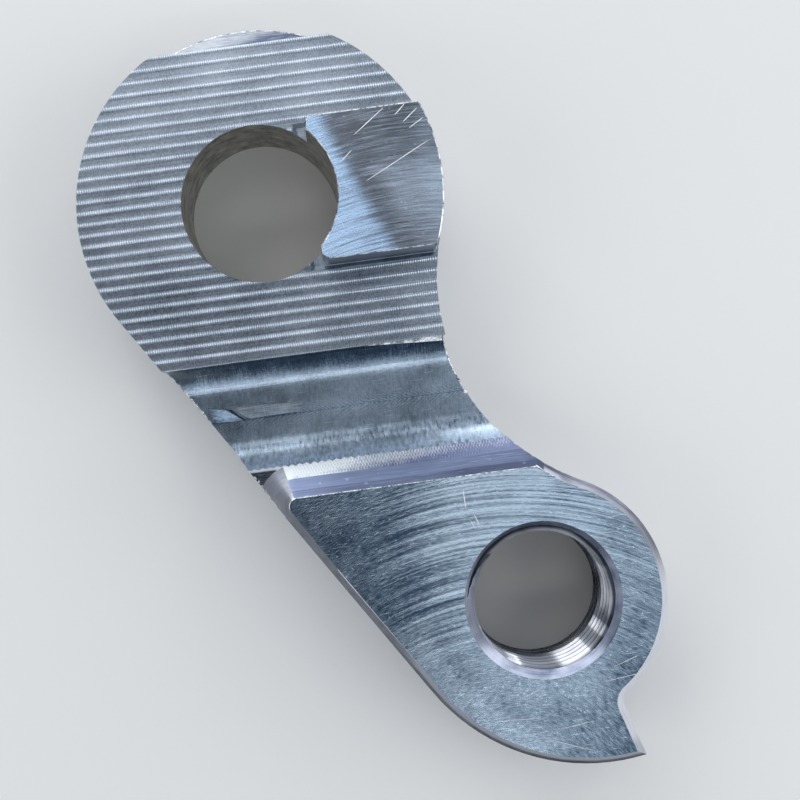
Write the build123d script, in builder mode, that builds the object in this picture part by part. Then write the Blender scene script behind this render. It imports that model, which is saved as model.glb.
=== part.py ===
"""Bicycle derailleur hanger, milled from one aluminium plate.

The part lies on its flat back. X runs along the dropout slot, Z points away
from the back, and the origin is on the back face at the wheel axle's axis.
"""
import os
from math import asin, atan2, cos, degrees, hypot, radians, sin, sqrt, tan

from build123d import *

# Plate and its outline, seen from above
plate_thickness = 8.0
head_radius = 12.05
flange_radius = 8.25
neck_radius = 14.4
heel_radius = 13.25
back_angle = 57.4

# Axle bore at the origin, derailleur thread measured from it
axle_bore_diameter = 10.3
thread_offset_x = 15.05
thread_offset_y = -28.25
thread_diameter = 10.0
thread_pitch = 1.0
thread_lead_in = 0.7

# Stop nose that the derailleur's adjusting screw pushes against
stop_angle = -73.4
stop_offset = 2.05
notch_radius = 0.8

# Key that sits in the dropout slot, with a relief groove at its root
key_width = 9.15
key_height = 3.75
key_start = 3.62
key_corner_radius = 0.55
key_end_inset = 0.2
relief_start = 2.74
relief_side_gap = 0.33
relief_depth = 0.35
relief_wall_angle = 40.0

# Step along the top of the head
step_start = 10.5
step_depth = 2.55

# Valley across the neck, with a ramp up to the flange
valley_near = 10.15
valley_far = 17.3
valley_depth = 3.65
valley_fillet = 2.0
ramp_top = 19.4
ramp_angle = 43.0

# Broken edge round the flange
flange_chamfer = 0.5

# Sizes that follow from the ones above
key_top = plate_thickness + key_height
relief_half_width = key_width / 2 + relief_side_gap
thread_bore_radius = (thread_diameter - thread_pitch) / 2
thread_mouth_radius = thread_bore_radius + thread_lead_in
hole_spacing = hypot(thread_offset_x, thread_offset_y)
past_everything = hole_spacing + head_radius + heel_radius

thread_axis = Vector(thread_offset_x, thread_offset_y)
to_thread = thread_axis.normalized()
right_of_thread = Vector(-to_thread.Y, to_thread.X)

# The neck arc touches the head circle and the flange circle
neck_to_head = neck_radius + head_radius
neck_to_flange = neck_radius + flange_radius
neck_along = (neck_to_head**2 - neck_to_flange**2 + hole_spacing**2) / (2 * hole_spacing)
neck_across = sqrt(neck_to_head**2 - neck_along**2)
neck_center = to_thread * neck_along + right_of_thread * neck_across
neck_from_head = degrees(atan2(neck_center.Y, neck_center.X))
neck_from_flange = degrees(atan2(neck_center.Y - thread_offset_y, neck_center.X - thread_offset_x))

# The back edge touches the head circle and the heel arc, which starts beside the thread
back_normal = 270 - back_angle
back_direction = Vector(cos(radians(back_angle)), -sin(radians(back_angle)))
back_outward = Vector(cos(radians(back_normal)), sin(radians(back_normal)))
heel_start = back_outward * head_radius + back_direction * thread_axis.dot(back_direction)
heel_center = heel_start - back_outward * heel_radius

# The stop face runs past the thread at its offset, from the flange arc to the heel arc
stop_direction = Vector(cos(radians(stop_angle)), sin(radians(stop_angle)))
stop_side = Vector(-stop_direction.Y, stop_direction.X)
heel_from_thread = heel_center - thread_axis
stop_to_heel_center = stop_offset - heel_from_thread.dot(stop_side)
nose_reach = heel_from_thread.dot(stop_direction) + sqrt(heel_radius**2 - stop_to_heel_center**2)
nose_tip = thread_axis + stop_direction * nose_reach + stop_side * stop_offset
notch_angle = stop_angle + degrees(asin(stop_offset / flange_radius))
nose_from_heel = degrees(atan2(nose_tip.Y - heel_center.Y, nose_tip.X - heel_center.X))

with BuildPart() as hanger:
    # Plate, cut to its outline
    with BuildSketch() as outline:
        with BuildLine():
            head = CenterArc((0, 0), head_radius, neck_from_head, back_normal - neck_from_head)
            neck = CenterArc(
                neck_center, neck_radius, neck_from_head + 180, neck_from_flange - neck_from_head
            )
            flange = CenterArc(thread_axis, flange_radius, notch_angle, neck_from_flange - notch_angle)
            heel = CenterArc(heel_center, heel_radius, back_normal, nose_from_heel + 360 - back_normal)
            Line(head @ 1, heel @ 0)
            Line(heel @ 1, flange @ 0)
        make_face()
        fillet(outline.vertices().sort_by_distance(flange @ 0)[0], notch_radius)
    extrude(amount=plate_thickness)

    # Step along the top of the head
    with BuildSketch(Plane.XY.offset(plate_thickness)):
        with Locations((0, step_start)):
            Rectangle(2 * head_radius, head_radius, align=(Align.CENTER, Align.MIN))
    extrude(amount=-step_depth, mode=Mode.SUBTRACT)

    # Valley across the neck: a filleted slot, opened towards the flange by the ramp
    with BuildSketch(Plane.YZ) as valley:
        with Locations((-valley_far, plate_thickness - valley_depth)):
            Rectangle(valley_far - valley_near, 2 * valley_depth, align=(Align.MIN, Align.MIN))
        fillet(valley.vertices().group_by(Axis.Y)[0], valley_fillet)
        with BuildLine():
            ramp_end = -valley_far + valley_fillet / 2
            ramp_drop = (ramp_end + ramp_top) * tan(radians(ramp_angle))
            Polyline(
                (-ramp_top, plate_thickness),
                (ramp_end, plate_thickness),
                (ramp_end, plate_thickness - ramp_drop),
                close=True,
            )
        make_face()
    extrude(amount=past_everything, both=True, mode=Mode.SUBTRACT)

    # Relief groove, with sloping walls, that lets the dropout seat right up to the key
    with BuildSketch(Plane.XY.offset(plate_thickness)):
        with Locations((relief_start, 0)):
            Rectangle(2 * head_radius, 2 * relief_half_width, align=(Align.MIN, Align.CENTER))
    extrude(amount=-relief_depth, taper=relief_wall_angle, mode=Mode.SUBTRACT)

    # Key, with its outer end rounded like the head
    with BuildSketch(Plane.XY.offset(plate_thickness - relief_depth)) as key:
        with Locations((key_start, 0)):
            Rectangle(2 * head_radius, key_width, align=(Align.MIN, Align.CENTER))
        fillet(key.vertices().group_by(Axis.X)[0], key_corner_radius)
        Circle(head_radius - key_end_inset, mode=Mode.INTERSECT)
    extrude(amount=relief_depth + key_height)

    # Axle bore, through the plate and into the end of the key
    with Locations((0, 0, key_top)):
        Hole(axle_bore_diameter / 2)

    # Tapped hole with a lead-in at both faces
    with Locations((thread_offset_x, thread_offset_y, plate_thickness)):
        CounterSinkHole(thread_bore_radius, thread_mouth_radius, counter_sink_angle=90)
    with Locations(Location((thread_offset_x, thread_offset_y, 0), (180, 0, 0))):
        CounterSinkHole(thread_bore_radius, thread_mouth_radius, counter_sink_angle=90)

    # Chamfer all round the flange face but for its straight edge above the ramp
    top_faces = hanger.faces().filter_by_position(Axis.Z, plate_thickness, plate_thickness)
    flange_face = top_faces.sort_by(Axis.Y)[0]
    flange_rim = flange_face.outer_wire().edges().sort_by(Axis.Y)[:-1]
    chamfer(flange_rim, flange_chamfer)

hanger.part.label = "derailleur_hanger"

os.makedirs("parts", exist_ok=True)
export_step(hanger.part, "parts/derailleur_hanger.step")
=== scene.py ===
import bmesh
import bpy
import math
import random
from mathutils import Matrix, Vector


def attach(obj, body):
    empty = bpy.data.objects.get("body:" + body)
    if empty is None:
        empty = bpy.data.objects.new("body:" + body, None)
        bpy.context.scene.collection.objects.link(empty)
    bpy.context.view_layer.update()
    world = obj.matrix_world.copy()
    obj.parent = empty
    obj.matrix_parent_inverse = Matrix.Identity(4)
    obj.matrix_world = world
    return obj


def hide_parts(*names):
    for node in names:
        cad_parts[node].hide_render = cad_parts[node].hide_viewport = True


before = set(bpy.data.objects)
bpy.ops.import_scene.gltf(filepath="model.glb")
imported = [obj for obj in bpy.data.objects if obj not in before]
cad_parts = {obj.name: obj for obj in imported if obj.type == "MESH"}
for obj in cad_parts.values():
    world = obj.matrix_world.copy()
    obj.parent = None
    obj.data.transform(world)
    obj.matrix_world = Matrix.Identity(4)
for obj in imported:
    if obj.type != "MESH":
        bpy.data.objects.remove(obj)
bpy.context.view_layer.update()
mm = 0.001  # sizes below are in millimetres and become metres where they are used
nearby = 0.05  # millimetres within which a point counts as at a place
bpy.context.scene.view_settings.view_transform = "Standard"


def at(x, y, z):
    return Vector((x * mm, y * mm, z * mm))


def deselect():
    bpy.ops.object.select_all(action="DESELECT")


def setMode(mode):
    bpy.ops.object.mode_set(mode=mode)


def selectOnly(piece):
    deselect()
    piece.select_set(True)
    bpy.context.view_layer.objects.active = piece


def applyModifier(piece, kind, **settings):
    selectOnly(piece)
    modifier = piece.modifiers.new(kind, kind)
    for name, value in settings.items():
        setattr(modifier, name, value)
    bpy.ops.object.modifier_apply(modifier=modifier.name)


def editAll(piece):
    selectOnly(piece)
    setMode("EDIT")
    bpy.ops.mesh.select_all(action="SELECT")


def leaveEdit(piece):
    bpy.ops.mesh.select_all(action="SELECT")
    bpy.ops.mesh.normals_make_consistent(inside=False)
    setMode("OBJECT")
    return piece


def settle(piece):  # its place and turn go into its mesh
    selectOnly(piece)
    bpy.ops.object.transform_apply(location=True, rotation=True, scale=True)
    return piece


def selectPoints(piece, test):  # by place in millimetres, from edit mode and back to it
    bpy.ops.mesh.select_all(action="DESELECT")
    setMode("OBJECT")
    for vertex in piece.data.vertices:
        vertex.select = test(vertex.co / mm)
    setMode("EDIT")


def slide(x, y, z):  # moves what is selected
    bpy.ops.transform.translate(value=at(x, y, z))


def pull(x, y, z):  # extrudes what is selected
    bpy.ops.mesh.extrude_region_move(TRANSFORM_OT_translate={"value": at(x, y, z)})


def drawFace(name, points):  # a flat face from its corners, drawn one after another
    deselect()
    bpy.ops.mesh.primitive_plane_add(size=mm, location=(0, 0, 0))
    piece = bpy.context.active_object
    piece.name = name
    setMode("EDIT")
    bpy.ops.mesh.select_all(action="SELECT")
    bpy.ops.mesh.merge(type="CENTER")
    slide(*points[0])
    for last, point in zip(points, points[1:]):
        pull(*(b - a for a, b in zip(last, point)))
    bpy.ops.mesh.select_all(action="SELECT")
    bpy.ops.mesh.edge_face_add()
    return piece


def joinAll(name, pieces):
    selectOnly(pieces[0])
    for piece in pieces[1:]:
        piece.select_set(True)
    if len(pieces) > 1:
        bpy.ops.object.join()
    pieces[0].name = name
    return pieces[0]


def weldOn(body, lump):
    name = lump.name
    applyModifier(body, "BOOLEAN", object=lump, operation="UNION", solver="MANIFOLD")
    bpy.data.objects.remove(lump)
    print("welded on", name, len(body.data.polygons), "faces")


def cutAway(body, tool):
    name = tool.name
    applyModifier(body, "BOOLEAN", object=tool, operation="DIFFERENCE", solver="MANIFOLD")
    bpy.data.objects.remove(tool)
    print("cut with", name, len(body.data.polygons), "faces")


# The hanger: the solid's own sizes, which the cutters below are set out from
hangerSizes = {
    "plateTop": 8.0,
    "headRadius": 12.05,
    "backAngle": 57.4,
    "boreRadius": 5.15,
    "keyTop": 11.75,
    "keyHalf": 4.575,
    "keyStart": 3.62,
    "reliefStart": 2.74,
    "reliefHalf": 4.905,
    "stepStart": 10.5,
    "valleyNear": -10.15,
    "valleyFar": -17.3,
    "valleyFloor": 4.35,
    "valleyFillet": 2.0,
    "rampTop": -19.4,
    "chamfer": 0.5,
    "thread": (15.05, -28.25),
    "threadBore": 4.5,
    "threadOuter": 5.0,
    "threadPitch": 1.0,
    "threadMouth": 5.2,
}


def hexColour(text):
    def linear(part):
        return part / 12.92 if part <= 0.04045 else ((part + 0.055) / 1.055) ** 2.4

    return (*(linear(int(text[i : i + 2], 16) / 255) for i in (1, 3, 5)), 1.0)


def addNode(tree, kind, inputs=None, output=0, **settings):  # gives the output to link on from
    node = tree.nodes.new("ShaderNode" + kind)
    for name, value in settings.items():
        setattr(node, name, value)
    for name, value in (inputs or {}).items():
        if isinstance(value, bpy.types.NodeSocket):
            tree.links.new(value, node.inputs[name])
        else:
            node.inputs[name].default_value = value
    return node.outputs[output]


# Every surface is bare aluminium alloy, and what differs is the tool that cut it and the light and shade
# painted into its tone. Lengths are in millimetres. A grain is the size of one mark, along X, Y and Z or
# along and across the cutter's arcs about a centre, and how much it lightens. Level is the tone between dark
# (0) and light (1). A fade goes from one place to another along X, Y or Z, out from an axis (R) or across a
#     sweep of light (S), and adds
# the first tone at its start and the second at its end; most fades are painted light and shade. The places
# that may follow a grain or a fade are where it comes in.
finishes = {
    # round-nosed rows: ticked crests with a painted highlight, satin between them, painted a little lighter
    # towards the top
    "rowMilledAluminium": {
        "dark": "#55606E", "light": "#D8E2EE", "level": 0.34, "rough": (0.26, 0.38), "height": 0.0012,
        "patch": 6.0, "patchGain": 0.4, "grains": [((4.0, 0.10, 0.1), 0.08), ((0.07, 0.14, 0.1), 0.14)],
        "fades": [("Y", -9.0, 6.0, -0.05, 0.08)],
        "tickPitch": 0.15, "tickReach": (0.0, 0.32), "tickHeight": 0.010, "tickShine": (0.40, 0.22),
    },
    # the key, faced by a fly cutter: fine arcs, with the broad bands in which they fan the light painted in:
    # a bright blue painted highlight before the sweep's line, painted shade along it, and greyer painted
    # light beyond it and at its right end
    "faceMilledKey": {
        "dark": "#676C74", "light": "#B8D4F3", "level": 0.16, "rough": (0.20, 0.30), "height": 0.0012,
        "patch": 2.5, "patchGain": 0.25,
        "grains": [((5.0, 0.13, 1), 0.20), ((1.6, 0.07, 1), 0.20), ((4.0, 0.17, 1), 0.26, ("S", 7.2, 6.0))],
        "centre": (9.5, -23.0), "anisotropy": 0.9, "sweepAcross": (0.925, 0.380, 0),
        "farLight": ("S", 6.4, 7.6, "#C6D4E4"),
        "fades": [
            ("S", 5.6, 6.75, 0.74, 0.0), ("S", 6.85, 8.6, 0.0, 0.54, ("Y", 1.7, 0.0), ("Y", -5.2, -1.2)),
            ("X", 9.8, 11.2, 0.0, 0.20),
        ],
        "scratches": 0.35, "specks": (0.22, 0.05, 0.25),
    },
    # the flange, faced by a wider cutter: short dashes, and long arcs where its edge dug in
    "faceMilledFlange": {
        "dark": "#42556A", "light": "#C9DCEB", "level": 0.15, "rough": (0.18, 0.28), "height": 0.0012,
        "patch": 2.2, "patchGain": 0.3,
        "grains": [
            ((0.45, 0.055, 1), 0.25),
            ((16.0, 0.22, 1), 0.50, ("X", 2.5, 9.0), ("X", 24.0, 16.0), ("Y", -34.0, -27.0)),
            ((6.0, 0.10, 1), 0.24, ("X", 13.0, 18.0), ("Y", -37.0, -29.0)),
            ((0.30, 0.30, 1), 0.14, ("Y", -29.0, -35.0)),
        ],
        "centre": (11.5, -45.0), "anisotropy": 0.9, "axis": (18.20, -26.24),
        # painted light towards the right, painted shade at the far right and towards the bottom; the last
        # fade is a paler smudge along the heel
        "fades": [
            ("X", 5.0, 12.0, 0.0, 0.50), ("X", 16.5, 21.0, 0.0, -0.22), ("Y", -38.0, -29.0, -0.34, 0.0),
            ("R", 10.6, 11.9, 0.0, 0.30, ("Y", -27.5, -31.0), ("X", 16.5, 11.5)),
        ],
        "scratches": 0.50, "specks": (0.22, 0.07, 0.30),
    },
    # the valley, end milled: duller, with hair-fine cross marks; a painted highlight along each fillet,
    # painted shade down the near wall under the head, and a painted shade line along the step where the two
    # passes meet
    "slotMilledAluminium": {
        "dark": "#56636F", "light": "#D6E8FA", "level": 0.31, "rough": (0.24, 0.36), "height": 0.002,
        "patch": 2.5, "patchGain": 0.4,
        "grains": [
            ((0.08, 0.5, 0.5), 0.08), ((0.14, 0.14, 0.14), 0.05),
            ((0.08, 0.6, 0.6), 0.06, ("Y", -12.4, -11.8), ("Y", -10.6, -11.2)),
            ((0.16, 0.12, 0.12), 0.10, ("Y", -12.4, -11.8)),
            ((0.08, 0.6, 0.6), 0.08, ("Y", -15.6, -16.2)),
            ((0.20, 0.55, 0.55), 0.20, ("Y", -15.0, -16.0)),
            ((0.07, 0.9, 0.9), 0.18, ("Y", -11.4, -10.8)),
        ],
        "fades": [
            ("Y", -17.0, -15.9, 0.52, 0.0), ("Y", -12.2, -11.6, 0.0, 0.26), ("Y", -11.5, -10.7, 0.0, -0.60),
            ("Y", -14.06, -13.95, 0.0, -0.22, ("X", 7.0, -1.0)),
            ("Y", -13.95, -13.84, 0.0, 0.22, ("X", 7.0, -1.0)),
        ],
        "roughFade": ("Y", -17.1, -16.3, 0.35, 0.0), "scratches": 0.25,
        "featherLine": -13.95, "featherReach": 0.85, "featherPitch": 0.34, "featherGain": 0.11,
    },
    # the smear beside the gouge and the groove about the key, rubbed smooth: paler and matter than a cut
    "rubbedAluminium": {
        "dark": "#626D79", "light": "#C2CDD8", "level": 0.55, "rough": (0.32, 0.44), "height": 0.001,
        "patch": 0.9, "patchGain": 0.5, "grains": [((0.09, 0.45, 0.4), 0.10), ((1.2, 0.08, 0.4), 0.20)],
    },
    # the gouge's sloping floor: a pale blue painted highlight in its middle, lost in the cut about it at its
    # ends
    "gougedAluminium": {
        "dark": "#4C5763", "light": "#C6DDF4", "level": 0.20, "rough": (0.22, 0.34), "height": 0.002,
        "patch": 0.5, "patchGain": 0.4, "grains": [((0.30, 0.08, 0.3), 0.20)],
        "fades": [("X", -5.4, -4.6, 0.0, 0.55), ("Y", -13.95, -13.55, -0.40, 0.0)],
    },
    # the flat left at the corner of the ramp: dark, with a torn edge above the flutes and its right end
    # painted bright for the highlights along them
    "ledgeMilledAluminium": {
        "dark": "#3A424B", "light": "#F4F8FC", "level": 0.04, "rough": (0.36, 0.50), "height": 0.0008,
        "patch": 0.8, "patchGain": 0.1, "grains": [((0.4, 0.10, 0.1), 0.06)],
        "fades": [("Y", -17.60, -17.48, 0.0, 0.90), ("X", -1.45, -1.20, 0.0, 0.90)],
    },
    # the gouge's steep wall, torn and not gone over again: dull, and painted dark for the shade in the
    # gouge's slit
    "roughMilledAluminium": {
        "dark": "#2E343B", "light": "#8B97A4", "level": 0.25, "rough": (0.34, 0.46), "height": 0.003,
        "patch": 0.8, "patchGain": 0.5, "grains": [((0.12, 0.12, 0.12), 0.2)],
    },
    # the foot of the ramp, where the tool chattered: scales, each painted with a glint, under a painted
    # highlight that is white at the left and dies out to the right, with painted shade towards the ramp's top
    "scaleMilledAluminium": {
        "dark": "#747D9C", "light": "#F4FAFE", "level": 0.06, "rough": (0.42, 0.52), "height": 0.002,
        "patch": 1.2, "patchGain": 0.25, "grains": [((0.3, 0.2, 0.2), 0.12)],
        "fades": [("X", 1.0, 5.5, 0.70, 0.0), ("X", 4.0, 12.0, 0.52, -0.05), ("Z", 6.25, 6.74, 0.10, -0.35)],
        "scaleFade": ("X", -2.0, 3.0, 0.35, 1.0), "scalePitch": (0.20, 0.21),
        "scaleHeight": 0.012, "scaleShine": 0.26,
    },
    # the upper ramp, cut by the tool's flank: smooth and faintly lavender, darker along its top, with painted
    # shade towards its right end and painted light at its left
    "rampMilledAluminium": {
        "dark": "#4E576E", "light": "#A8B6DA", "level": 0.30, "rough": (0.46, 0.54), "height": 0.0008,
        "patch": 4.0, "patchGain": 0.25, "grains": [((2.5, 0.10, 0.1), 0.12)],
        "fades": [
            ("Y", -19.08, -18.98, 0.0, 0.24), ("X", 8.0, 12.0, 0.0, -0.36), ("X", -1.0, 3.0, 0.12, 0.0),
        ],
        "scratches": 0.30, "specks": (0.30, 0.04, 0.40),
    },
    # the chamfer on its shaded sides and round the ramp's corner, a shaded copy of the lit chamfer below:
    # dull and faintly lavender, with painted light round the ramp's corner, painted shade towards the bottom
    # and a painted highlight along the heel's top edge
    "shadedChamferAluminium": {
        "dark": "#3E444C", "light": "#A6AAB4", "level": 0.48, "rough": (0.26, 0.36), "height": 0.0008,
        "patch": 3.0, "patchGain": 0.2, "grains": [((0.6, 0.6, 0.1), 0.10)],
        "fades": [
            ("Y", -21.5, -18.6, 0.0, 0.26), ("Y", -38.5, -33.0, -0.30, 0.0),
            ("Z", 7.64, 7.84, -0.10, 0.75, ("Y", -29.0, -33.0)),
        ],
    },
    # the chamfer where it faces right, a lit copy of the shaded chamfer above: painted bright, the painted
    # light dying out towards the neck, painted shade at the bottom and a painted highlight along its top edge
    # near the neck
    "litChamferAluminium": {
        "dark": "#565A6C", "light": "#EEF1FA", "level": 0.85, "rough": (0.24, 0.34), "height": 0.0008,
        "patch": 5.0, "patchGain": 0.10, "grains": [((1.2, 1.2, 0.08), 0.08)],
        "fades": [
            ("Y", -28.6, -25.0, 0.0, -0.75), ("Y", -38.6, -37.6, -0.3, 0.0),
            ("Z", 7.66, 7.84, 0.0, 0.16, ("Y", -28.0, -24.5)),
        ],
    },
    # the mouth of the tapped hole, turned by a countersink: smooth rings, with painted light on its left side
    # and a little painted shade towards the bottom
    "countersunkAluminium": {
        "dark": "#5A6478", "light": "#DCE2F6", "level": 0.30, "rough": (0.30, 0.40), "height": 0.0003,
        "patch": 1.6, "patchGain": 0.6, "grains": [((4.0, 4.0, 0.06), 0.12)],
        "fades": [("Y", -33.5, -25.0, -0.05, 0.0), ("X", 10.0, 13.5, 0.50, 0.0)],
    },
    # the thread: crests painted lighter for their highlight, its root darker, part swarf and oil left there
    # and part painted shade, and painted shadow down its right side
    "tappedAluminium": {
        "dark": "#34373F", "light": "#DCDEE4", "level": 0.36, "rough": (0.09, 0.16), "height": 0.0003,
        "patch": 2.0, "patchGain": 0.4, "grains": [((4.0, 4.0, 0.08), 0.10)],
        "axis": hangerSizes["thread"],
        "fades": [("R", 4.55, 4.92, 0.25, -0.50), ("X", 17.4, 19.3, 0.0, -0.30)],
    },
    # the axle bore: fine rings, and grime that dulls it
    "boredAluminium": {
        "dark": "#5E5A52", "light": "#C8C5BC", "level": 0.5, "rough": (0.26, 0.40), "height": 0.0008,
        "patch": 0.9, "patchGain": 1.2, "grains": [((6.0, 6.0, 0.10), 0.20), ((0.15, 0.15, 0.15), 0.20)],
        "specks": (0.40, 0.12, -0.6),
    },
    # the step on the head, cut by a small end mill: a painted highlight bright at its left, and painted shade
    # across the sweep to the right
    "stepMilledAluminium": {
        "dark": "#727D98", "light": "#EDF2F7", "level": 0.0, "rough": (0.26, 0.36), "height": 0.0015,
        "patch": 2.0, "patchGain": 0.3, "grains": [((0.9, 0.12, 0.12), 0.26)],
        "sweepAcross": (0.156, -0.988, 0),
        "fades": [("X", -5.0, 2.5, 0.85, 0.65), ("S", -11.10, -10.40, 0.0, -0.62, ("X", -2.8, 0.6))],
    },
    # the side walls, with upright marks of the profiling cutter, and painted shade on the walls above the
    # plate, up the key's sides
    "profileMilledAluminium": {
        "dark": "#7C8592", "light": "#CBD2DB", "level": 0.5, "rough": (0.28, 0.40), "height": 0.002,
        "patch": 4.0, "patchGain": 0.4, "grains": [((0.25, 0.25, 5.0), 0.2), ((0.12, 0.12, 0.12), 0.08)],
        "fades": [("Z", 8.2, 8.8, 0.0, -0.55)],
    },
    # deep scratches: fresh bright metal
    "scratchedAluminium": {
        "dark": "#8A929D", "light": "#FAFCFE", "level": 0.70, "rough": (0.26, 0.40), "height": 0.001,
        "patch": 1.5, "patchGain": 0.5, "grains": [((0.12, 0.12, 0.12), 0.15)],
    },
    # broken edges: rubbed bright in handling and painted brighter for the highlights along them, dull where a
    # burr stands
    "wornAndHighlightedEdgeAluminium": {
        "dark": "#5C646F", "light": "#FAFCFE", "level": 0.50, "rough": (0.24, 0.40), "height": 0.001,
        "patch": 0.5, "patchGain": 1.6, "grains": [((0.12, 0.12, 0.12), 0.30)],
    },
}


# What the finishes' patterns have in common
patternSettings = {
    "grainSpan": (0.3, 0.7),  # noise seldom goes beyond these
    "cloudSpan": (0.25, 0.75),
    "markSpan": (-0.3, 0.3),
    "relief": 5.0,  # marks reach about a fifth of a tone, and this makes that their full height
    "sweepNoise": (0.35, 0.8),  # scale, and how far the line wanders
    "tickNoise": (1.3, 1.2),
    "rowNoise": (0.6, 7.3),  # scale, and how far apart two rows are in the noise
    "rowLively": (0.55, 1.35),
    "featherNoise": (1.1, 1.1),
    "featherLean": 1.6,
    "speckEdge": (0.2, 0.45),
    "hairTurns": (0.25, 0.80, 1.45, 2.10, 2.75),
    "hairStretch": (0.6, 13.0, 1.0),
    "hairEdge": (0.12, 0.30),
    "hairRare": 0.975,
}


def awayFrom(tree, place, axis):  # level, from an upright axis
    away = addNode(tree, "VectorMath", {0: place, 1: (*axis, 0)}, operation="SUBTRACT")
    return addNode(tree, "VectorMath", {0: away, 1: (1, 1, 0)}, operation="MULTIPLY")


def wander(tree, place, value, noise, detail):  # the value strays a little from place to place
    scale, reach = noise
    stray = addNode(tree, "TexNoise", {"Vector": place, "Scale": scale, "Detail": detail})
    return addNode(tree, "Math", {0: stray, 1: reach, 2: value}, operation="MULTIPLY_ADD")


def waves(tree, value, pitch):
    turn = addNode(tree, "Math", {0: value, 1: 2 * math.pi / pitch}, operation="MULTIPLY")
    return addNode(tree, "Math", {0: turn}, operation="SINE")


def someCells(tree, cells, edge, rare):  # a few of them, solid in the middle and gone at the edge
    solid, gone = edge
    spot = addNode(tree, "MapRange", {"Value": cells["Distance"], "From Min": gone, "From Max": solid})
    chance = addNode(tree, "SeparateColor", {0: cells["Color"]})
    chosen = addNode(tree, "Math", {0: chance, 1: rare}, operation="GREATER_THAN")
    return addNode(tree, "Math", {0: spot, 1: chosen}, operation="MULTIPLY")


def maskBy(tree, value, parts, masks):  # comes in from each mask's start to its end
    for axis, start, end in masks:
        along = {"Value": parts[axis], "From Min": start, "From Max": end}
        share = addNode(tree, "MapRange", along, interpolation_type="SMOOTHSTEP")
        value = addNode(tree, "Math", {0: value, 1: share}, operation="MULTIPLY")
    return value


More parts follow.
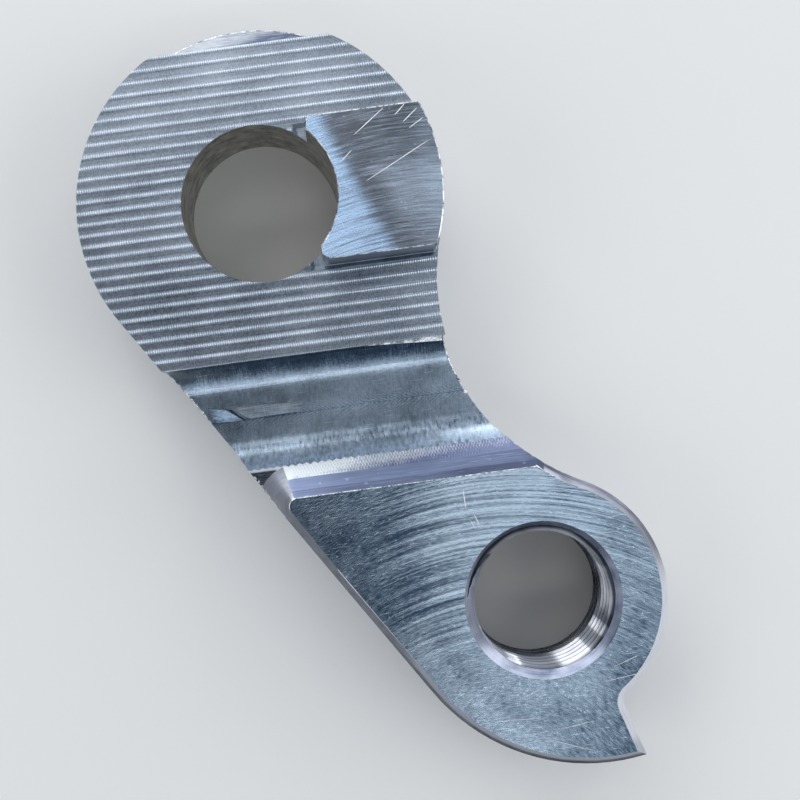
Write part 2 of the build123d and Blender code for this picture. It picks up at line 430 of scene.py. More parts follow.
def makeFinish(name, look, pattern):
    material = bpy.data.materials.new(name)
    material.use_nodes = True
    tree = material.node_tree
    shader = tree.nodes["Principled BSDF"]
    shader.inputs["Metallic"].default_value = 1.0
    metres = addNode(tree, "TexCoord", output="Object")
    place = addNode(tree, "VectorMath", {0: metres, "Scale": 1 / mm}, operation="SCALE")
    parts = dict(addNode(tree, "SeparateXYZ", {0: place}).node.outputs.items())
    if "axis" in look:  # how far out from an axis
        out = awayFrom(tree, place, look["axis"])
        parts["R"] = addNode(tree, "VectorMath", {0: out}, output="Value", operation="LENGTH")

    if "sweepAcross" in look:  # how far across the sweep of light that the arcs throw
        across = {0: place, 1: look["sweepAcross"]}
        lean = addNode(tree, "VectorMath", across, output="Value", operation="DOT_PRODUCT")
        parts["S"] = wander(tree, place, lean, pattern["sweepNoise"], 1.0)

    path = place
    if "centre" in look:  # along and across the arcs
        spoke = awayFrom(tree, place, look["centre"])
        radius = addNode(tree, "VectorMath", {0: spoke}, output="Value", operation="LENGTH")
        path = addNode(tree, "CombineXYZ", {0: parts["X"], 1: radius})
        tangent = addNode(tree, "VectorMath", {0: spoke}, operation="NORMALIZE")
        tree.links.new(tangent, shader.inputs["Tangent"])  # light spreads across the arcs
        shader.inputs["Anisotropic"].default_value = look["anisotropy"]

    marks = 0.0
    low, high = pattern["grainSpan"]
    for size, gain, *masks in look["grains"]:
        drawn = addNode(tree, "VectorMath", {0: path, 1: [1 / part for part in size]}, operation="MULTIPLY")
        grain = addNode(tree, "TexNoise", {"Vector": drawn, "Scale": 1.0, "Detail": 2.0})
        lift = {"Value": grain, "From Min": low, "From Max": high, "To Min": -gain, "To Max": gain}
        grain = maskBy(tree, addNode(tree, "MapRange", lift), parts, masks)
        marks = addNode(tree, "Math", {0: grain, 1: marks}, operation="ADD")
    bump = addNode(tree, "Bump", {"Height": marks, "Distance": look["height"] * mm * pattern["relief"]})

    cloud = addNode(tree, "TexNoise", {"Vector": place, "Scale": 1 / look["patch"], "Detail": 4.0})
    low, high = pattern["cloudSpan"]
    dull = look["level"] - look["patchGain"] / 2
    bright = look["level"] + look["patchGain"] / 2
    patches = {"Value": cloud, "From Min": low, "From Max": high, "To Min": dull, "To Max": bright}
    tone = addNode(tree, "MapRange", patches)
    tone = addNode(tree, "Math", {0: tone, 1: marks}, operation="ADD")

    for axis, start, end, first, last, *masks in look.get("fades", []):  # one end or side of a cut made brighter or darker, mostly as painted light and shade
        along = {"Value": parts[axis], "From Min": start, "From Max": end, "To Min": first, "To Max": last}
        fade = addNode(tree, "MapRange", along, interpolation_type="SMOOTHSTEP")
        fade = maskBy(tree, fade, parts, masks)
        tone = addNode(tree, "Math", {0: tone, 1: fade}, operation="ADD")

    if "tickPitch" in look:  # the teeth's feed marks, drawn coarser than life so that they show
        row = addNode(tree, "Math", {0: parts["Y"], 1: rowSettings["phase"]}, operation="SUBTRACT")
        row = addNode(tree, "Math", {0: row, 1: rowSettings["pitch"]}, operation="DIVIDE")
        number = addNode(tree, "Math", {0: row}, operation="ROUND")
        away = addNode(tree, "Math", {0: row, 1: number}, operation="SUBTRACT")
        away = addNode(tree, "Math", {0: away}, operation="ABSOLUTE")
        start = addNode(tree, "TexWhiteNoise", {"W": number}, noise_dimensions="1D")
        perMm = 1 / look["tickPitch"]
        count = addNode(tree, "Math", {0: parts["X"], 1: perMm, 2: start}, operation="MULTIPLY_ADD")
        wave = waves(tree, wander(tree, place, count, pattern["tickNoise"], 1.0), 1)
        near, far = look["tickReach"]
        fall = {"Value": away, "From Min": near, "From Max": far, "To Min": 1.0, "To Max": 0.0}
        close = addNode(tree, "MapRange", fall, interpolation_type="SMOOTHSTEP")
        ticks = addNode(tree, "Math", {0: wave, 1: close}, operation="MULTIPLY")
        bump = addNode(tree, "Bump", {"Height": ticks, "Distance": look["tickHeight"] * mm, "Normal": bump})
        # painted highlight: each crest painted lighter, more on some rows than others, and its ticks lighter
        # and darker in turn
        steady, flicker = look["tickShine"]
        scale, apart = pattern["rowNoise"]
        beside = addNode(tree, "Math", {0: number, 1: apart}, operation="MULTIPLY")
        lively = addNode(tree, "CombineXYZ", {0: parts["X"], 1: beside})
        lively = addNode(tree, "TexNoise", {"Vector": lively, "Scale": scale, "Detail": 3.0})
        low, high = pattern["grainSpan"]
        least, most = pattern["rowLively"]
        uneven = {"Value": lively, "From Min": low, "From Max": high, "To Min": least, "To Max": most}
        lively = addNode(tree, "MapRange", uneven)
        close = addNode(tree, "Math", {0: close, 1: lively}, operation="MULTIPLY")
        tone = addNode(tree, "Math", {0: close, 1: steady, 2: tone}, operation="MULTIPLY_ADD")
        tone = addNode(tree, "Math", {0: ticks, 1: flicker, 2: tone}, operation="MULTIPLY_ADD")

    if "scalePitch" in look:  # chatter scales, each row set off by half a scale
        wide, deep = look["scalePitch"]
        row = addNode(tree, "Math", {0: parts["Y"], 1: 1 / deep}, operation="MULTIPLY")
        number = addNode(tree, "Math", {0: row}, operation="FLOOR")
        within = addNode(tree, "Math", {0: row, 1: number}, operation="SUBTRACT")
        count = addNode(tree, "Math", {0: number, 1: 0.5}, operation="MULTIPLY")
        count = addNode(tree, "Math", {0: parts["X"], 1: 1 / wide, 2: count}, operation="MULTIPLY_ADD")
        scales = addNode(tree, "Math", {0: waves(tree, count, 1), 1: within}, operation="MULTIPLY")
        axis, start, end, first, last = look["scaleFade"]
        along = {"Value": parts[axis], "From Min": start, "From Max": end, "To Min": first, "To Max": last}
        fade = addNode(tree, "MapRange", along)
        scales = addNode(tree, "Math", {0: scales, 1: fade}, operation="MULTIPLY")
        bump = addNode(tree, "Bump", {"Height": scales, "Distance": look["scaleHeight"] * mm, "Normal": bump})
        # each scale painted with a glint
        tone = addNode(tree, "Math", {0: scales, 1: look["scaleShine"], 2: tone}, operation="MULTIPLY_ADD")

    if "featherLine" in look:  # strokes that sweep back from the line where two passes meet
        away = addNode(tree, "Math", {0: parts["Y"], 1: look["featherLine"]}, operation="SUBTRACT")
        away = addNode(tree, "Math", {0: away}, operation="ABSOLUTE")
        leaning = {0: away, 1: pattern["featherLean"], 2: parts["X"]}
        sweep = addNode(tree, "Math", leaning, operation="MULTIPLY_ADD")
        sweep = wander(tree, place, sweep, pattern["featherNoise"], 2.0)
        wave = waves(tree, sweep, look["featherPitch"])
        fall = {"Value": away, "From Max": look["featherReach"], "To Min": look["featherGain"], "To Max": 0.0}
        close = addNode(tree, "MapRange", fall, interpolation_type="SMOOTHSTEP")
        tone = addNode(tree, "Math", {0: wave, 1: close, 2: tone}, operation="MULTIPLY_ADD")

    if "specks" in look:  # dings painted with the glints they catch, or grime that doesn't
        size, share, gain = look["specks"]
        cells = addNode(tree, "TexVoronoi", {"Vector": place, "Scale": 1 / size}).node.outputs
        dots = someCells(tree, cells, pattern["speckEdge"], 1 - share)
        tone = addNode(tree, "Math", {0: dots, 1: gain, 2: tone}, operation="MULTIPLY_ADD")

    if "scratches" in look:  # hairlines every way: a few cells of a pattern drawn out thin
        for turn in pattern["hairTurns"]:
            drawn = {"Vector": place, "Rotation": (0, 0, turn), "Scale": pattern["hairStretch"]}
            drawn = {"Vector": addNode(tree, "Mapping", drawn), "Scale": 1.0}
            cells = addNode(tree, "TexVoronoi", drawn, voronoi_dimensions="2D").node.outputs
            hairs = someCells(tree, cells, pattern["hairEdge"], pattern["hairRare"])
            tone = addNode(tree, "Math", {0: hairs, 1: look["scratches"], 2: tone}, operation="MULTIPLY_ADD")

    tone = addNode(tree, "Math", {0: tone, 1: 0.0}, operation="ADD", use_clamp=True)
    light = hexColour(look["light"])
    if "farLight" in look:  # painted light: the light tone turns greyer on the far side of the sweep, where the light comes from another side
        axis, start, end, far = look["farLight"]
        share = addNode(tree, "MapRange", {"Value": parts[axis], "From Min": start, "From Max": end})
        light = addNode(tree, "Mix", {0: share, 6: light, 7: hexColour(far)}, output=2, data_type="RGBA")
    shades = {0: tone, 6: hexColour(look["dark"]), 7: light}
    colour = addNode(tree, "Mix", shades, output=2, data_type="RGBA")
    smooth, rough = look["rough"]
    low, high = pattern["markSpan"]
    spread = {"Value": marks, "From Min": low, "From Max": high, "To Min": smooth, "To Max": rough}
    roughness = addNode(tree, "MapRange", spread)
    if "roughFade" in look:  # one end of a cut is duller
        axis, start, end, first, last = look["roughFade"]
        along = {"Value": parts[axis], "From Min": start, "From Max": end, "To Min": first, "To Max": last}
        fade = addNode(tree, "MapRange", along)
        roughness = addNode(tree, "Math", {0: roughness, 1: fade}, operation="ADD")
    tree.links.new(colour, shader.inputs["Base Color"])
    tree.links.new(roughness, shader.inputs["Roughness"])
    tree.links.new(bump, shader.inputs["Normal"])
    return material


# Where one finish gives way to the next: slack about a place, and how far a face may turn
zoneSettings = {
    "looksUp": 0.9,
    "slopes": 0.5,
    "chamferSlopes": 0.4,
    "backEdgeSlopes": -0.3,
    "near": 0.02,
    "skin": 0.001,
    "coneSlack": 0.08,
    "coneLean": 0.04,
    "boreSlack": 0.1,
    "reliefRise": 0.6,
    "reliefEnd": 0.3,
    "floorSlack": 0.3,
    "gougeX": (-5.7, -2.7),
    "gougeY": (-14.1, -12.6),
    "gougeLean": 0.995,
    "smearDepth": (0.04, 0.01),
    "scratchDepth": 0.06,
    "edgeSlack": 0.1,
    "rowDepth": 0.4,
    "rampFoot": 0.05,
    "scaleTop": 6.74,
    "cornerTurn": -0.22,  # the ramp's corner looks further left than this
    "litChamferTurn": 0.3,
    "fluteReach": 0.4,
    "valleyDepth": 0.15,
    "wallTurn": 0.72,
}


def finishFor(co, normal, sizes, zones):  # by where a face lies and which way it looks
    x, y, z = co
    plateTop = sizes["plateTop"]
    keyTop = sizes["keyTop"]
    valleyFloor = sizes["valleyFloor"]
    fromAxle = math.hypot(x, y)
    fromThread = math.hypot(x - sizes["thread"][0], y - sizes["thread"][1])
    looksUp = normal.z > zones["looksUp"]
    if fromThread < sizes["threadMouth"] + zones["near"]:
        offCone = abs(fromThread + min(plateTop - z, z) - sizes["threadMouth"])
        atHalfRight = abs(abs(normal.z) - math.sqrt(0.5)) < zones["coneLean"]
        return "countersunkAluminium" if offCone < zones["coneSlack"] and atHalfRight else "tappedAluminium"
    if abs(fromAxle - sizes["boreRadius"]) < zones["boreSlack"] and abs(normal.z) < zones["slopes"]:
        return "boredAluminium"
    if normal.z < -zones["looksUp"]:
        return "faceMilledFlange"
    if normal.z < zones["backEdgeSlopes"] and z < edgeSettings["backWidth"]:
        return "wornAndHighlightedEdgeAluminium"

    inValley = sizes["valleyFar"] < y < sizes["valleyNear"]
    onFloor = inValley and abs(z - valleyFloor) < zones["floorSlack"]
    left, right = zones["gougeX"]
    near, far = zones["gougeY"]
    inGouge = onFloor and left < x < right and near < y < far and normal.z < zones["gougeLean"]
    if inGouge and normal.x > 0:
        return "gougedAluminium"
    if sizes["rampTop"] < y < sizes["valleyFar"] and looksUp:
        return "ledgeMilledAluminium"
    besideKey = x > sizes["reliefStart"] and abs(y) < sizes["reliefHalf"] + zones["near"]
    inRelief = besideKey and z < plateTop + zones["reliefRise"]
    if inRelief and fromAxle < sizes["headRadius"] - zones["reliefEnd"]:
        return "rubbedAluminium"
    if inGouge:
        return "roughMilledAluminium"
    deepest, shallowest = zones["smearDepth"]
    atSmear = valleyFloor - deepest < z < valleyFloor - shallowest
    if onFloor and y > passSettings["ridge"] and looksUp and atSmear:
        return "rubbedAluminium"

    if z > keyTop - zones["scratchDepth"]:
        return "scratchedAluminium" if z < keyTop - zones["skin"] else "faceMilledKey"
    beyondRamp = y < sizes["rampTop"] - zones["edgeSlack"]
    if beyondRamp and z > plateTop - zones["skin"]:
        return "faceMilledFlange"
    if beyondRamp and z > plateTop - zones["scratchDepth"]:
        return "scratchedAluminium"
    if y > sizes["stepStart"] and looksUp:
        return "stepMilledAluminium"
    onHead = y > sizes["valleyNear"] - zones["edgeSlack"]
    if onHead and z > plateTop - zones["rowDepth"] and normal.z > zones["slopes"]:
        return "rowMilledAluminium"

    byRamp = sizes["rampTop"] - zones["edgeSlack"] < y < sizes["valleyFar"] + zones["rampFoot"]
    onRamp = byRamp and zones["slopes"] < normal.z < zones["looksUp"]
    if onRamp and normal.x > zones["cornerTurn"]:
        return "scaleMilledAluminium" if z < zones["scaleTop"] else "rampMilledAluminium"
    if onRamp:
        return "shadedChamferAluminium"
    # the chamfer's lit copy where it faces right, its shaded copy elsewhere
    if y < sizes["valleyFar"] and zones["chamferSlopes"] < normal.z < zones["looksUp"]:
        return "litChamferAluminium" if normal.x > zones["litChamferTurn"] else "shadedChamferAluminium"
    acrossValley = sizes["valleyFar"] - zones["fluteReach"] < y < sizes["valleyNear"] + zones["near"]
    if acrossValley and z > valleyFloor - zones["valleyDepth"] and abs(normal.x) < zones["wallTurn"]:
        return "slotMilledAluminium"
    return "profileMilledAluminium"


# The hanger starts as a copy of the solid's mesh, which the cutters then go over
copySettings = {"weld": 0.001, "flat": 0.2}


def startHanger(settings):
    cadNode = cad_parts["derailleur_hanger"]
    piece = bpy.data.objects.new("hanger", cadNode.data.copy())
    piece.data.materials.clear()
    for name, look in finishes.items():
        piece.data.materials.append(makeFinish(name, look, patternSettings))
    bpy.context.scene.collection.objects.link(piece)
    editAll(piece)  # loose triangles until they are merged
    bpy.ops.mesh.remove_doubles(threshold=settings["weld"] * mm)
    bpy.ops.mesh.dissolve_limited(angle_limit=math.radians(settings["flat"]))
    setMode("OBJECT")
    print("copied the solid,", len(piece.data.polygons), "faces")
    return piece


# The form cutter that ran along the top of the ramp and on round the corner of the flange
rampSettings = {
    "inset": 0.08,  # how far it bites into the flange face
    "cornerRadius": 0.55,
    "cornerSteps": 8,
    "bands": [(0.0, 8.0), (0.45, 7.52), (1.23, 6.75), (2.15, 5.98), (3.6, 5.98)],
    "clear": 9.2,
    "rightEnd": 16.0,
    "runOut": 5.0,  # beyond the corner it lifts slowly out of the chamfer
    "rise": 0.09,
}


def makeRampCutter(sizes, settings):
    top = sizes["rampTop"] - settings["inset"]
    radius = settings["cornerRadius"]
    outward = math.radians(270 - sizes["backAngle"])
    wall = Vector((math.cos(outward), math.sin(outward), 0))
    along = Vector((-wall.y, wall.x, 0))
    chamferLine = sizes["headRadius"] - sizes["chamfer"] - settings["inset"]
    cornerY = top - radius
    cornerX = (chamferLine - radius - cornerY * wall.y) / wall.x
    outline = list(settings["bands"])
    outline += [(outline[-1][0], settings["clear"]), (outline[0][0], settings["clear"])]
    cutter = drawFace("rampCutter", [(settings["rightEnd"], top + out, z) for out, z in outline])
    pull(cornerX - settings["rightEnd"], 0, 0)
    turn = math.radians(180 - sizes["backAngle"])
    corner = at(cornerX, cornerY, 0)
    bpy.ops.mesh.spin(steps=settings["cornerSteps"], angle=-turn, center=corner, axis=(0, 0, 1))
    pull(*(along * settings["runOut"] + Vector((0, 0, settings["rise"]))))
    return leaveEdit(cutter)


# The second pass along the valley, a little deeper, which left flutes up its far wall
passSettings = {
    "depth": 0.05,
    "leftEnd": -7.0,
    "rightEnd": 16.0,
    "ridge": -13.95,  # a low step where this pass meets the first
    "slopeWidth": 0.12,
    "slopeRise": 0.08,
    "fluteHalf": 0.25,
    "fluteDepth": 0.16,
    "fluteUnevenness": (0.75, 1.15),
    "fluteHeights": (0.35, 0.65, 0.9),  # shares of the fillet at which a flute gets deeper
    "arcSteps": 8,
    "seed": 11,
}


def makePassCutter(sizes, settings):
    radius = sizes["valleyFillet"] + settings["depth"]
    middleY = sizes["valleyFar"] + sizes["valleyFillet"]
    middleZ = sizes["valleyFloor"] + sizes["valleyFillet"]
    floor = sizes["valleyFloor"] - settings["depth"]
    ridge = settings["ridge"]
    outline = [(ridge + settings["slopeWidth"], floor + settings["slopeRise"]), (ridge, floor)]
    for step in range(settings["arcSteps"] + 1):
        angle = math.radians(90 * step / settings["arcSteps"])
        outline.append((middleY - radius * math.sin(angle), middleZ - radius * math.cos(angle)))
    outline.append((middleY - radius, sizes["plateTop"]))
    cutter = drawFace("passCutter", [(settings["leftEnd"], y, z) for y, z in outline])
    sections = round((settings["rightEnd"] - settings["leftEnd"]) / settings["fluteHalf"])
    for section in range(sections):
        pull(settings["fluteHalf"], 0, 0)
    rng = random.Random(settings["seed"])
    for section in range(0, sections + 1, 2):  # every other section bites deeper, more so higher up
        x = settings["leftEnd"] + section * settings["fluteHalf"]
        bite = settings["fluteDepth"] * rng.uniform(*settings["fluteUnevenness"])
        for share in settings["fluteHeights"]:
            height = floor + share * radius
            selectPoints(
                cutter,
                lambda co: abs(co.x - x) < nearby and co.z > height and co.y < middleY - nearby,
            )
            slide(0, -bite / len(settings["fluteHeights"]), 0)
    return leaveEdit(cutter)


# Where the end mill first came down in the valley, and the smear that it left beside that
gougeSettings = {
    "corners": [(-5.45, -12.82, 4.335), (-4.40, -13.05, 4.08), (-3.12, -14.02, 4.08), (-5.15, -13.90, 4.345)],
    "rise": 0.40,
    "leans": [(0.75, -0.16), (0.12, 0.14)],  # how far the wall above two of the corners leans back
}
smearSettings = {
    "corners": [(-4.05, -13.00, 4.325), (1.0, -13.20, 4.325), (0.7, -13.85, 4.325), (-2.8, -13.90, 4.325)],
    "rise": 0.20,
    "leans": [],
}


def makeBlockCutter(name, settings):
    corners = settings["corners"]
    cutter = drawFace(name, corners)
    pull(0, 0, settings["rise"])
    for (x, y, z), lean in zip(corners[1:3], settings["leans"]):
        selectPoints(cutter, lambda co: math.hypot(co.x - x, co.y - y) < nearby and co.z > z + nearby)
        slide(*lean, 0)
    return leaveEdit(cutter)


# The sliver that the cutter left standing under the head's edge, wider to the right
ledgeSettings = {
    "start": 5.6,
    "end": 10.70,
    "root": 0.1,  # how far it goes into the wall
    "lip": 0.02,
    "reach": 0.30,
    "sag": 0.16,
    "top": 7.88,
    "foot": 7.30,
}


def makeLedge(sizes, settings):
    wall = sizes["valleyNear"]
    root = wall + settings["root"]
    lip = wall - settings["lip"]
    top = settings["top"]
    foot = settings["foot"]
    outline = [(root, top), (lip, top), (lip, foot), (root, foot)]
    ledge = drawFace("ledge", [(settings["start"], y, z) for y, z in outline])
    pull(settings["end"] - settings["start"], 0, 0)
    tip = Vector((settings["end"], lip, top))
    selectPoints(ledge, lambda co: (co - tip).length < nearby)
    slide(0, -settings["reach"], -settings["sag"])
    return leaveEdit(ledge)


# Burrs that stand at the ends of the valley and at the ramp's corner
burrSettings = {
    "places": [  # X, Y, Z and size
        (-6.90, -11.45, 4.50, 0.20), (-6.66, -11.80, 4.40, 0.22), (-6.48, -12.10, 4.37, 0.22),
        (-6.25, -12.45, 4.36, 0.20), (-5.85, -13.10, 4.35, 0.18), (-2.80, -17.92, 5.98, 0.20),
        (-2.60, -18.22, 5.98, 0.20), (-2.40, -18.52, 6.00, 0.20), (-2.22, -18.84, 6.05, 0.18),
        (11.18, -11.50, 4.46, 0.20), (11.42, -12.40, 4.37, 0.20), (11.68, -13.10, 4.36, 0.20),
        (12.07, -14.05, 4.33, 0.20), (12.55, -15.00, 4.32, 0.20), (12.85, -15.60, 4.40, 0.20),
    ],
    "stretch": (0.6, 1.5),
    "seed": 3,
}


def makeBurrs(settings):
    rng = random.Random(settings["seed"])
    burrs = []
    for *place, size in settings["places"]:
        deselect()
        radius = size * mm / 2
        bpy.ops.mesh.primitive_ico_sphere_add(subdivisions=2, radius=radius, location=at(*place))
        burr = bpy.context.active_object
        burr.scale = [rng.uniform(*settings["stretch"]) for axis in range(3)]
        burr.rotation_euler = [rng.uniform(0, math.pi) for axis in range(3)]
        burrs.append(settle(burr))
    return joinAll("burrs", burrs)


def giveFinish(piece, body, number):  # the same finishes as the body's, and one of them all over
    for material in body.data.materials:
        piece.data.materials.append(material)
    for face in piece.data.polygons:
        face.material_index = number
    return piece


# Rows left by the round-nosed cutter that went to and fro across the head
rowSettings = {
    "pitch": 0.735,
    "phase": 0.09,  # one crest lies this far above the axle's axis
    "rowsEachWay": 15,
    "depth": 0.035,
    "skin": 0.006,  # taken off the crests as well
    "facesAcross": 8,
    "sharpness": 4,  # flat in the middle of a row and steep at its crests
    "unevenness": 0.010,
    "crestReach": 0.12,  # a crest takes the points beside it along
    "seed": 5,
    "overrun": 1.0,
    "clear": 1.0,
    "weld": 0.01,
    "keySpace": (20.0, 0.15, 4.0),  # length, gap at each side and height kept free for the key
    "keyBefore": 0.4,
}


def makeRowCutter(sizes, settings):
    pitch = settings["pitch"]
    half = pitch / 2
    first = settings["phase"] - settings["rowsEachWay"] * pitch + half
    floor = sizes["plateTop"] - settings["skin"] - settings["depth"]
    deselect()
    bpy.ops.mesh.primitive_grid_add(x_subdivisions=1, y_subdivisions=settings["facesAcross"], size=mm)
    cutter = bpy.context.active_object
    cutter.name = "rowCutter"
    cutter.scale = (2 * (sizes["headRadius"] + settings["overrun"]), pitch, 1)
    settle(cutter)
    setMode("EDIT")
    for ring in range(1, settings["facesAcross"] // 2 + 1):
        share = 2 * ring / settings["facesAcross"]
        selectPoints(cutter, lambda co: abs(abs(co.y) - share * half) < nearby)
        slide(0, 0, settings["depth"] * share ** settings["sharpness"])
    bpy.ops.mesh.select_all(action="SELECT")
    slide(0, first, floor)
    setMode("OBJECT")
    applyModifier(
        cutter,
        "ARRAY",
        count=2 * settings["rowsEachWay"],
        use_relative_offset=False,
        use_constant_offset=True,
        constant_offset_displace=at(0, pitch, 0),
        use_merge_vertices=True,
        merge_threshold=settings["weld"] * mm,
    )
    rng = random.Random(settings["seed"])
    setMode("EDIT")
    for row in range(2 * settings["rowsEachWay"] + 1):  # no two crests are quite as high
        crest = first - half + row * pitch
        selectPoints(cutter, lambda co: abs(co.y - crest) < settings["crestReach"])
        slide(0, 0, -rng.random() * settings["unevenness"])
    bpy.ops.mesh.select_all(action="SELECT")
    pull(0, 0, settings["clear"])
    leaveEdit(cutter)
    deselect()
    length, gap, height = settings["keySpace"]
    middle = sizes["keyStart"] - settings["keyBefore"] + length / 2
    bpy.ops.mesh.primitive_cube_add(size=mm, location=at(middle, 0, sizes["plateTop"]))
    keySpace = bpy.context.active_object
    keySpace.name = "keySpace"
    keySpace.scale = (length, 2 * (sizes["keyHalf"] + gap), height)
    cutAway(cutter, settle(keySpace))
    return cutter


# The tapped thread, a blunt tooth wound down the hole
threadSettings = {
    "turns": 11,
    "steps": 72,
    "overlap": 0.03,
    "start": -1.62,
    "crest": 0.46,  # half a tooth at the bore, as a share of the pitch
    "root": 0.06,
}


def makeThreadCutter(sizes, settings):
    inner = sizes["threadBore"] - settings["overlap"]
    outer = sizes["threadOuter"]
    half = settings["crest"] * sizes["threadPitch"]
    root = settings["root"]
    cutter = drawFace(
        "threadCutter", [(inner, 0, -half), (outer, 0, -root), (outer, 0, root), (inner, 0, half)]
    )
    bpy.ops.mesh.delete(type="ONLY_FACE")
    setMode("OBJECT")
    applyModifier(
        cutter,
        "SCREW",
        axis="Z",
        angle=2 * math.pi,
        screw_offset=sizes["threadPitch"] * mm,
        iterations=settings["turns"],
        steps=settings["steps"],
        render_steps=settings["steps"],
        use_merge_vertices=False,
    )
    editAll(cutter)
    bpy.ops.mesh.fill_holes(sides=4)
    bpy.ops.mesh.select_all(action="SELECT")
    slide(*sizes["thread"], settings["start"])
    return leaveEdit(cutter)


# Scratches from handling, each from one end to the other
scratchSettings = {
    "width": 0.055,
    "lift": 0.2,  # how far a needle's middle is above the surface, as a share of its width
    "segments": 8,
    "rings": 10,
    "key": [
        ((10.05, 4.50), (9.27, 3.82)), ((10.84, 4.18), (9.71, 3.31)), ((11.13, 3.51), (10.04, 2.89)),
        ((11.46, 2.13), (6.71, -0.16)), ((8.80, 4.50), (6.48, 2.86)), ((4.77, -1.86), (5.29, -2.70)),
        ((6.37, 2.05), (5.51, 1.34)),
    ],
    "flange": [
        ((10.81, -35.71), (14.42, -35.93)), ((12.97, -36.86), (17.33, -38.60)),
        ((11.24, -22.07), (11.54, -22.84)), ((10.94, -22.36), (11.24, -23.07)),
        ((10.05, -24.10), (11.29, -23.73)), ((12.63, -34.50), (14.02, -34.02)),
        ((18.89, -33.22), (20.82, -32.61)), ((18.00, -34.10), (21.36, -33.75)),
        ((14.97, -36.79), (16.99, -36.54)), ((10.75, -20.29), (10.77, -21.68)),
    ],
    "valley": [((4.90, -12.90), (8.90, -12.45))],
}


def makeScratches(settings, places, surface):
    width = settings["width"]
    needles = []
    for start, end in places:
        deselect()
        along = Vector((end[0] - start[0], end[1] - start[1], 0))
        middle = at((start[0] + end[0]) / 2, (start[1] + end[1]) / 2, surface + width * settings["lift"])
        bpy.ops.mesh.primitive_uv_sphere_add(
            segments=settings["segments"],
            ring_count=settings["rings"],
            radius=mm / 2,
            location=middle,
        )
        needle = bpy.context.active_object
        needle.scale = (width, width, along.length)
        needle.rotation_euler = along.to_track_quat("Z", "Y").to_euler()
        needles.append(settle(needle))
    return joinAll("scratches", needles)


# Sharp edges, taken off as a file and a thumb would
edgeSettings = {
    "headWidth": 0.085,
    "flangeWidth": 0.04,
    "backWidth": 0.06,
    "backSlack": 0.01,
    "segments": 2,
    "sharp": 28.0,  # degrees, as the next two angles are
    "flat": 0.3,
    "smooth": 22.0,
    "weld": 0.004,
    "slack": 0.1,
    "flutes": (0.4, 0.6),  # below and above the valley's far wall, where no file goes
    "rimGap": 0.9,
    "upright": 0.4,  # an edge that climbs more than this share of its length
    "cornerHeight": 1.0,
}


def breakBack(piece, settings):  # the back goes in a little, then an inset brings it out again, smaller
    width = settings["backWidth"]
    editAll(piece)
    bpy.ops.mesh.select_mode(type="FACE")
    bpy.ops.mesh.select_all(action="DESELECT")
    setMode("OBJECT")
    for face in piece.data.polygons:
        looksDown = face.normal.z < -zoneSettings["looksUp"]
        face.select = looksDown and face.center.z < settings["backSlack"] * mm
    setMode("EDIT")
    slide(0, 0, width)
    bpy.ops.mesh.inset(thickness=width * mm, depth=width * mm)
    bpy.ops.mesh.select_mode(type="VERT")
    setMode("OBJECT")
    print("broke the back's edges,", len(piece.data.polygons), "faces")


def mayBreak(co, sizes, settings, part):  # where a file would reach
    x, y, z = co
    slack = settings["slack"]
    inHole = math.hypot(x - sizes["thread"][0], y - sizes["thread"][1]) < sizes["threadMouth"] - slack
    byKey = x > sizes["reliefStart"] - slack and abs(y) < sizes["reliefHalf"] + slack
    inRelief = byKey and z < sizes["plateTop"] + slack
    below, above = settings["flutes"]
    atFlutes = sizes["valleyFar"] - below < y < sizes["valleyFar"] + above
    aboveChamfer = z > sizes["plateTop"] - sizes["chamfer"] - slack
    onRim = y < sizes["rampTop"] - settings["rimGap"] and aboveChamfer
    onHead = y > sizes["valleyFar"]
    return onHead == (part == "head") and not (inHole or inRelief or atFlutes or onRim)


def breakEdges(piece, sizes, settings, part):
    editAll(piece)
    bpy.ops.mesh.remove_doubles(threshold=settings["weld"] * mm)
    bpy.ops.mesh.dissolve_limited(angle_limit=math.radians(settings["flat"]))
    bpy.ops.mesh.vert_connect_concave()
    bpy.ops.mesh.select_all(action="DESELECT")
    bpy.ops.mesh.select_mode(type="EDGE")
    mesh = bmesh.from_edit_mesh(piece.data)
    for edge in mesh.edges:
        sharp = edge.is_convex and edge.calc_face_angle(0) > math.radians(settings["sharp"])
        low, high = sorted(end.co.z / mm for end in edge.verts)
        upright = high - low > settings["upright"] * edge.calc_length() / mm
        atTop = low > sizes["plateTop"] - settings["cornerHeight"]
        smallCorner = part == "flange" and upright and atTop
        keep = smallCorner or high < settings["slack"]  # the back is broken already
        reached = all(mayBreak(end.co / mm, sizes, settings, part) for end in edge.verts)
        edge.select = sharp and reached and not keep
    mesh.select_flush_mode()
    bmesh.update_edit_mesh(piece.data)
    bpy.ops.mesh.bevel(
        offset=settings[part + "Width"] * mm,
        segments=settings["segments"],
        affect="EDGES",
        clamp_overlap=False,
        loop_slide=False,
        material=edgeFinish,
    )
    bpy.ops.mesh.select_mode(type="VERT")
    setMode("OBJECT")
    print("broke the edges,", len(piece.data.polygons), "faces")


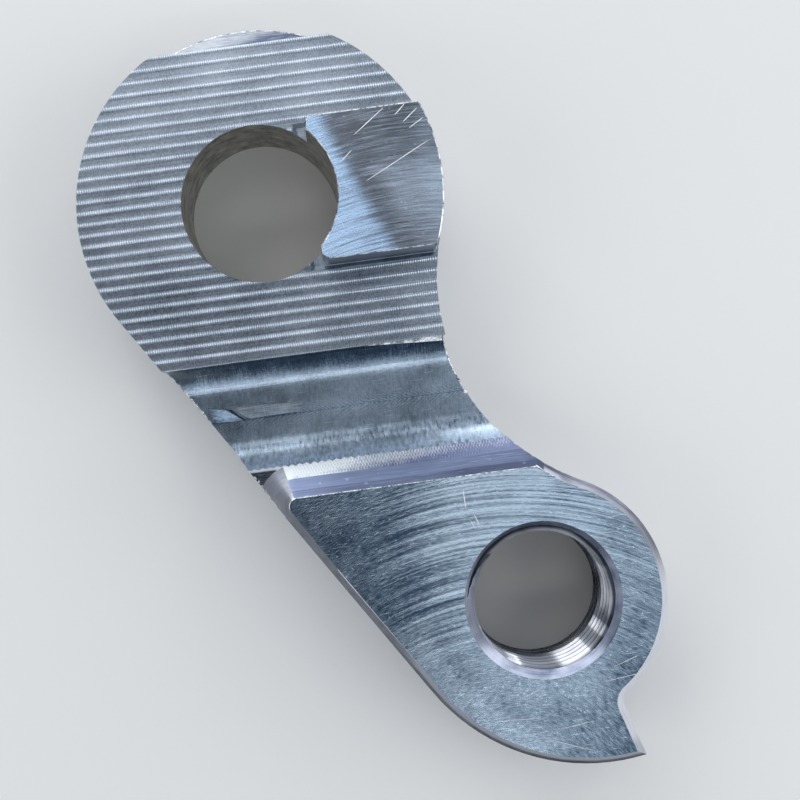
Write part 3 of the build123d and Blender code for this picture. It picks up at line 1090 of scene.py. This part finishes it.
edgeFinish = list(finishes).index("wornAndHighlightedEdgeAluminium")
hanger = startHanger(copySettings)
breakBack(hanger, edgeSettings)
cutAway(hanger, makeRampCutter(hangerSizes, rampSettings))
breakEdges(hanger, hangerSizes, edgeSettings, "head")
breakEdges(hanger, hangerSizes, edgeSettings, "flange")
cutAway(hanger, makePassCutter(hangerSizes, passSettings))
cutAway(hanger, makeBlockCutter("smear", smearSettings))
cutAway(hanger, makeBlockCutter("gouge", gougeSettings))
weldOn(hanger, giveFinish(makeLedge(hangerSizes, ledgeSettings), hanger, edgeFinish))
weldOn(hanger, giveFinish(makeBurrs(burrSettings), hanger, edgeFinish))
cutAway(hanger, makeRowCutter(hangerSizes, rowSettings))
cutAway(hanger, makeThreadCutter(hangerSizes, threadSettings))
for where, level in (("key", "keyTop"), ("flange", "plateTop"), ("valley", "valleyFloor")):
    cutAway(hanger, makeScratches(scratchSettings, scratchSettings[where], hangerSizes[level]))
selectOnly(hanger)
bpy.ops.mesh.customdata_custom_splitnormals_clear()  # the import's normals no longer fit
bpy.ops.object.shade_smooth_by_angle(angle=math.radians(edgeSettings["smooth"]))
applyModifier(hanger, "WEIGHTED_NORMAL", mode="FACE_AREA", keep_sharp=True)
order = list(finishes)
for face in hanger.data.polygons:
    if face.material_index != edgeFinish:
        finish = finishFor(face.center / mm, face.normal, hangerSizes, zoneSettings)
        face.material_index = order.index(finish)
bpy.ops.object.material_slot_remove_unused()
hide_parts("derailleur_hanger")
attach(hanger, "root")
print("finished the surfaces")

# Pale paper floor, turned up at its far edges so that a low view ends in paper too
floorSettings = {"size": 3.0, "rim": 0.25, "drop": 0.01, "colour": "#EDEBE7", "roughness": 0.7}
deselect()
bpy.ops.mesh.primitive_plane_add(size=floorSettings["size"], location=at(0, 0, -floorSettings["drop"]))
floor = bpy.context.active_object
floor.name = "floor"
setMode("EDIT")
bpy.ops.mesh.select_mode(type="EDGE")
bpy.ops.mesh.select_all(action="SELECT")
bpy.ops.mesh.extrude_edges_move(TRANSFORM_OT_translate={"value": (0, 0, floorSettings["rim"])})
bpy.ops.mesh.select_mode(type="VERT")
setMode("OBJECT")
paper = bpy.data.materials.new("palePaper")
paper.use_nodes = True
paperShader = paper.node_tree.nodes["Principled BSDF"]
paperShader.inputs["Base Color"].default_value = hexColour(floorSettings["colour"])
paperShader.inputs["Roughness"].default_value = floorSettings["roughness"]
floor.data.materials.append(paper)
print("laid the floor")

# Camera straight above, turned and shifted as the photograph's framing needs
cameraSettings = {"place": (3.755, -13.50, 100.0), "turn": -7.6, "lens": 63.135, "shift": 0.0706, "clip": 1.0}
bpy.ops.object.camera_add(location=at(*cameraSettings["place"]))
camera = bpy.context.active_object
camera.rotation_euler = (0, 0, math.radians(cameraSettings["turn"]))
camera.data.lens = cameraSettings["lens"]
camera.data.shift_x = cameraSettings["shift"]
camera.data.clip_start = cameraSettings["clip"] * mm
bpy.context.scene.camera = camera

# Soft studio: a pale room, darker straight above where the camera hangs, dim at the horizon
studioSettings = {
    "room": "#D9E2EE", "roomStrength": 0.72,
    "overhead": "#8FA3BC", "overheadStrength": 0.07,
    "horizon": "#C4C6D6", "horizonStrength": 0.50,
    "across": (-0.95, -0.45, 0.03, 0.09),  # the dark patch fades in and out between these slopes
    "upDown": (-0.60, -0.22, 0.05, 0.42),
    "lowest": 0.001,
    "patchFoot": 0.05,
    "horizonTop": 0.35,
}


def makeStudio(settings):
    world = bpy.data.worlds.new("studio")
    world.use_nodes = True
    tree = world.node_tree
    way = addNode(tree, "TexCoord", output="Generated")
    turn = math.radians(cameraSettings["turn"])
    right = (math.cos(turn), math.sin(turn), 0.0)
    up = (-math.sin(turn), math.cos(turn), 0.0)
    height = addNode(tree, "SeparateXYZ", {0: way}, output="Z")
    above = addNode(tree, "Math", {0: height, 1: settings["lowest"]}, operation="MAXIMUM")
    patch = addNode(tree, "MapRange", {"Value": height, "From Max": settings["patchFoot"]})
    for axis, (fadeIn, full, still, fadeOut) in ((right, settings["across"]), (up, settings["upDown"])):
        lean = addNode(tree, "VectorMath", {0: way, 1: axis}, output="Value", operation="DOT_PRODUCT")
        slope = addNode(tree, "Math", {0: lean, 1: above}, operation="DIVIDE")
        for start, end in ((fadeIn, full), (fadeOut, still)):
            along = {"Value": slope, "From Min": start, "From Max": end}
            edge = addNode(tree, "MapRange", along, interpolation_type="SMOOTHSTEP")
            patch = addNode(tree, "Math", {0: patch, 1: edge}, operation="MULTIPLY")
    lights = {}
    for part in ("horizon", "room", "overhead"):
        strength = settings[part + "Strength"]
        lights[part] = (*(c * strength for c in hexColour(settings[part])[:3]), 1.0)
    along = {"Value": height, "From Max": settings["horizonTop"]}
    climb = addNode(tree, "MapRange", along, interpolation_type="SMOOTHSTEP")
    shades = {0: climb, 6: lights["horizon"], 7: lights["room"]}
    dome = addNode(tree, "Mix", shades, output=2, data_type="RGBA")
    dome = addNode(tree, "Mix", {0: patch, 6: dome, 7: lights["overhead"]}, output=2, data_type="RGBA")
    tree.links.new(dome, tree.nodes["Background"].inputs["Color"])
    bpy.context.scene.world = world


makeStudio(studioSettings)
lampAim = (5, -14, 0)  # the middle of the hanger
lampSettings = [  # place, width and height in metres, watts
    ("overheadSoftbox", (-0.033, 0.163, 0.50), (0.11, 0.11), 0.07),
    ("overheadStrip", (0.063, -0.072, 0.50), (0.12, 0.12), 0.030),
    ("frontStrip", (-0.012, -0.290, 0.50), (0.30, 0.05), 0.12),
    ("upperSoftbox", (-0.16, 0.38, 0.32), (0.28, 0.28), 0.45),
    ("rightSoftbox", (0.42, -0.10, 0.30), (0.40, 0.40), 0.7),
    ("leftSoftbox", (-0.42, -0.12, 0.30), (0.40, 0.40), 0.3),
    ("backStrip", (-0.04, 0.45, 0.09), (0.60, 0.14), 0.90),
    ("sideStrip", (0.36, 0.30, 0.08), (0.40, 0.12), 0.40),
    ("rightSpot", (0.30, 0.33, 0.26), (0.12, 0.12), 0.10),
    ("leftSpot", (-0.40, 0.21, 0.26), (0.07, 0.07), 0.04),
]
for name, place, (width, height), watts in lampSettings:
    bpy.ops.object.light_add(type="AREA", location=place)
    lamp = bpy.context.active_object
    lamp.name = name
    lamp.data.shape = "RECTANGLE"
    lamp.data.size = width
    lamp.data.size_y = height
    lamp.data.energy = watts
    lamp.rotation_euler = (at(*lampAim) - lamp.location).to_track_quat("-Z", "Y").to_euler()
print("lit the studio")
